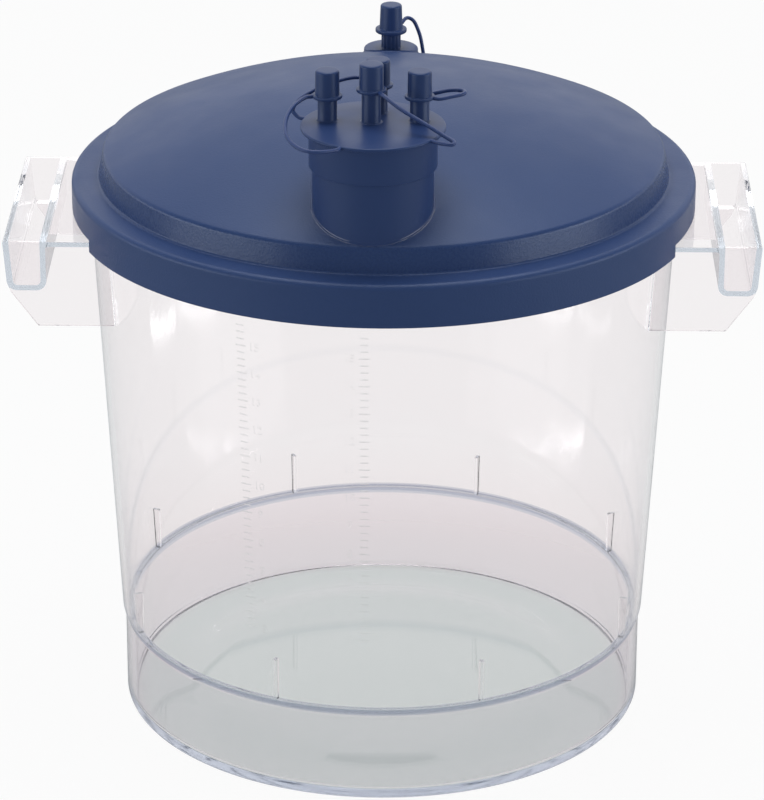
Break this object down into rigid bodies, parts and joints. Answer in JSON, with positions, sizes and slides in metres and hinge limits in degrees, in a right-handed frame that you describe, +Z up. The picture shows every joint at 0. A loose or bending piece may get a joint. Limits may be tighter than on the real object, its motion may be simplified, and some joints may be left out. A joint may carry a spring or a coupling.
{
  "type": "suction canister",
  "caption": "Round clear collection jar with moulded carrying handles and an opaque domed lid that has a capped pouring spout, tube ports and a vacuum port.",
  "frame": {"origin": "centre of the jar's standing face", "axes": "+Z up, +X towards the right handle, the pouring spout at the front (-Y), the vacuum port at the back"},
  "size_m": [0.3812, 0.32, 0.3856],
  "materials": {
    "jar_clear": "clear gloss",
    "lid_blue": "satin",
    "cap_blue": "satin",
    "strap_blue": "satin",
    "cage_white": "matte",
    "float_white": "matte",
    "seal_rubber": "matte"
  },
  "bodies": {
    "jar": {"jar": "jar_clear"},
    "lid": {"lid": "lid_blue", "float_cage": "cage_white", "vacuum_tether": "strap_blue"},
    "spout_cap": {"spout_cap": "lid_blue", "tether_left": "strap_blue", "tether_centre": "strap_blue", "tether_right": "strap_blue", "tether_rear": "strap_blue"},
    "port_cap_left": {"port_cap_left": "cap_blue"},
    "port_cap_centre": {"port_cap_centre": "cap_blue"},
    "port_cap_right": {"port_cap_right": "cap_blue"},
    "port_cap_rear": {"port_cap_rear": "cap_blue"},
    "vacuum_cap": {"vacuum_cap": "cap_blue"},
    "float": {"shutoff_float": "float_white", "float_seal": "seal_rubber"}
  },
  "joints": [
    {"name": "lid_lift", "type": "slide", "parent": "jar", "child": "lid", "axis": [0, 0, 1], "range_m": [0, 0.045]},
    {"name": "spout_cap_pull", "type": "slide", "parent": "lid", "child": "spout_cap", "axis": [0, 0, 1], "range_m": [0, 0.03]},
    {"name": "port_cap_left_pull", "type": "slide", "parent": "spout_cap", "child": "port_cap_left", "axis": [0, 0, 1], "range_m": [0, 0.016], "deforming": ["tether_left"]},
    {"name": "port_cap_centre_pull", "type": "slide", "parent": "spout_cap", "child": "port_cap_centre", "axis": [0, 0, 1], "range_m": [0, 0.016], "deforming": ["tether_centre"]},
    {"name": "port_cap_right_pull", "type": "slide", "parent": "spout_cap", "child": "port_cap_right", "axis": [0, 0, 1], "range_m": [0, 0.016], "deforming": ["tether_right"]},
    {"name": "port_cap_rear_pull", "type": "slide", "parent": "spout_cap", "child": "port_cap_rear", "axis": [0, 0, 1], "range_m": [0, 0.016], "deforming": ["tether_rear"]},
    {"name": "vacuum_cap_pull", "type": "slide", "parent": "lid", "child": "vacuum_cap", "axis": [0, 0, 1], "range_m": [0, 0.018], "deforming": ["vacuum_tether"]},
    {"name": "float_rise", "type": "slide", "parent": "lid", "child": "float", "axis": [0, 0, 1], "range_m": [0, 0.0249]}
  ]
}
